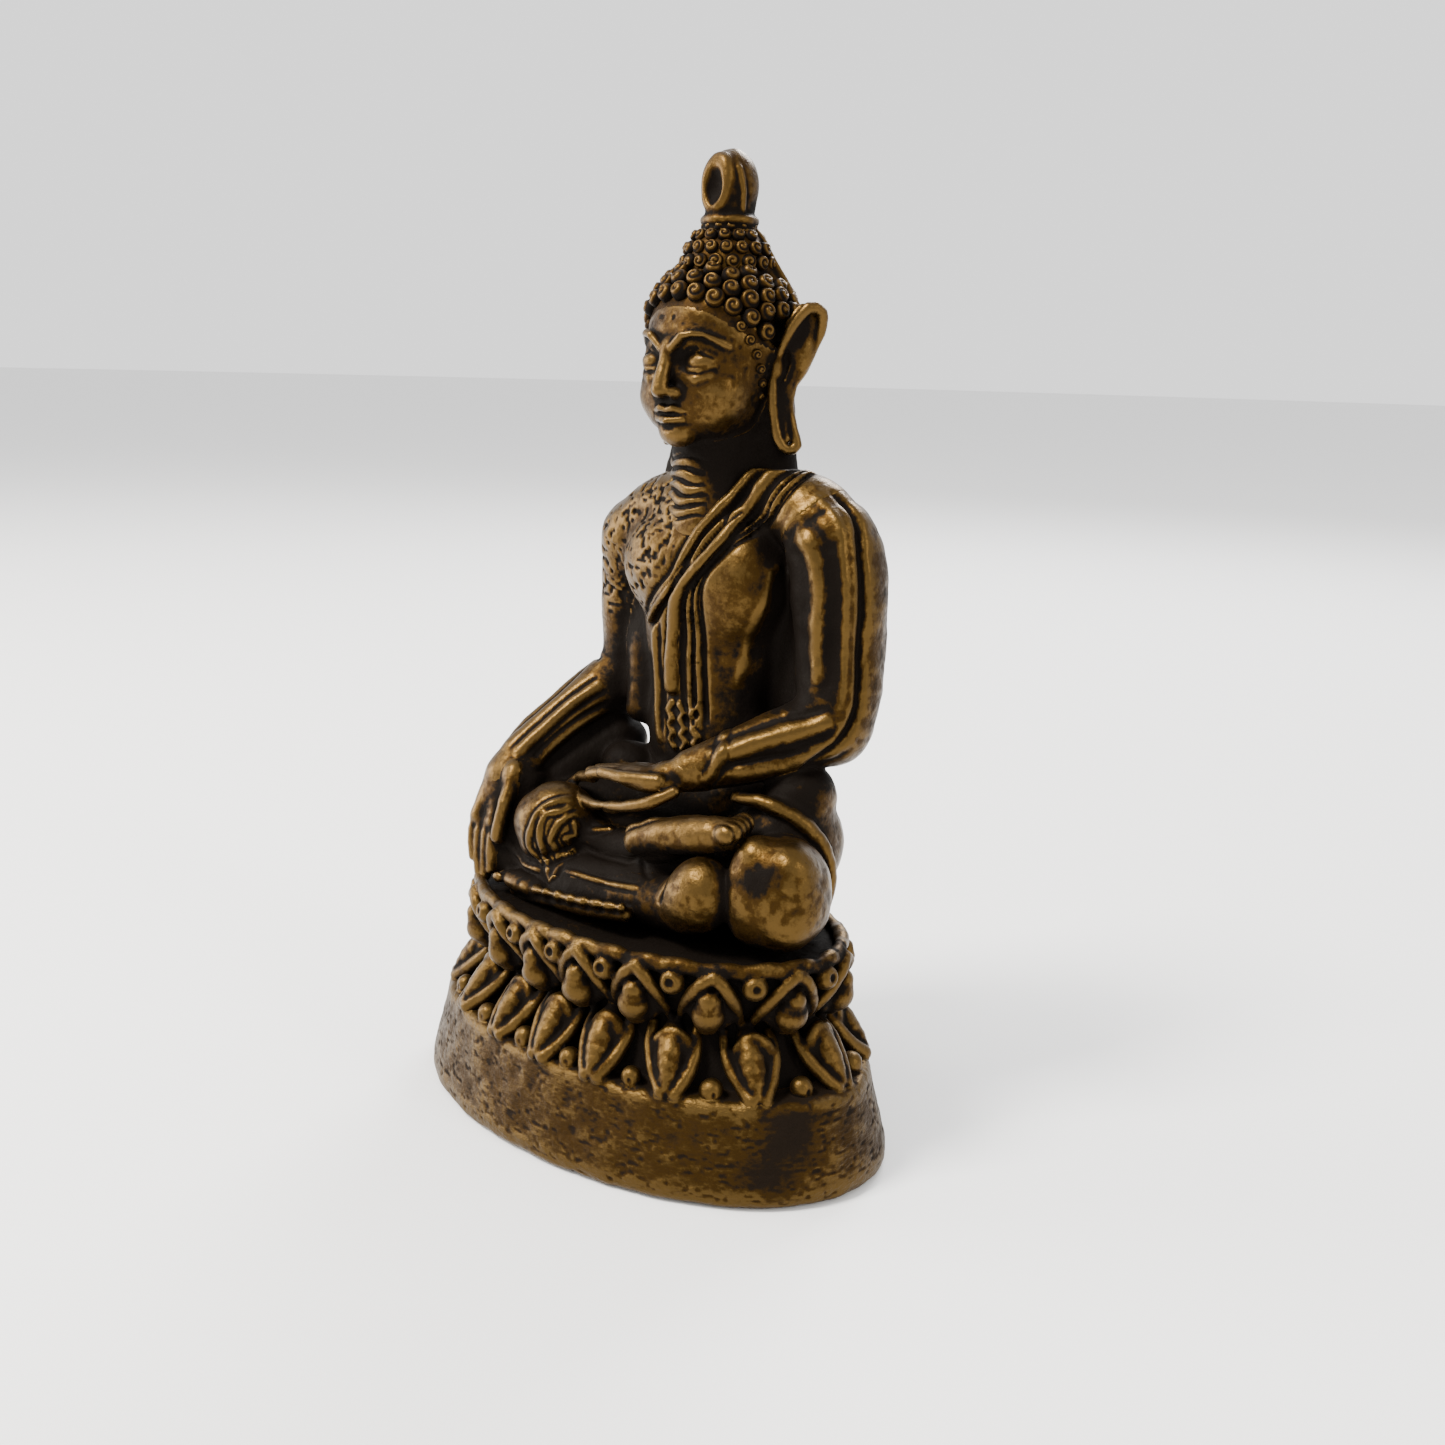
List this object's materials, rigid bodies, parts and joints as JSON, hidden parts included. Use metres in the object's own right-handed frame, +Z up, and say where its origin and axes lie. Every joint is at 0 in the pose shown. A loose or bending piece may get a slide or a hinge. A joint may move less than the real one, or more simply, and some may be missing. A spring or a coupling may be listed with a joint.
{
  "type": "seated buddha statue",
  "caption": "Small antiqued brass figure of a seated Buddha, right hand over the knee and left hand in the lap, fixed on an oval double lotus pedestal.",
  "frame": {"origin": "centre of the plinth's footprint, on the surface that it stands on", "axes": "+Z up to the finial, -Y the way the figure faces, +X to the figure's own left"},
  "size_m": [0.0378, 0.0234, 0.064],
  "materials": {
    "pedestal": "antiqued cast brass, satin, dark patina in the recesses of the petals",
    "robe": "antiqued cast brass, satin, tooled folds darkened with patina",
    "skin": "antiqued cast brass, satin, finely pitted and rubbed bright on the high places",
    "hair": "antiqued cast brass, satin, dark patina between the curls",
    "screw": "plain machine screw, slotted head"
  },
  "bodies": {
    "root": {"plinth": "pedestal", "lotus_core": "pedestal", "lower_petals": "pedestal", "lower_beads": "pedestal", "upper_petals": "pedestal", "upper_beads": "pedestal", "deck": "pedestal", "fixing_screw": "screw", "seat_robe": "robe", "right_leg": "robe", "left_leg": "robe", "right_foot": "skin", "left_foot": "skin", "robe_hem": "robe", "torso": "robe", "robe_border": "robe", "shoulder_sash": "robe", "right_arm": "skin", "right_hand": "skin", "left_arm": "robe", "left_hand": "skin", "neck": "skin", "head": "skin", "right_ear": "skin", "left_ear": "skin", "hair_cap": "hair", "hair_curls": "hair", "topknot": "hair", "topknot_curls": "hair", "finial": "hair"}
  },
  "joints": []
}
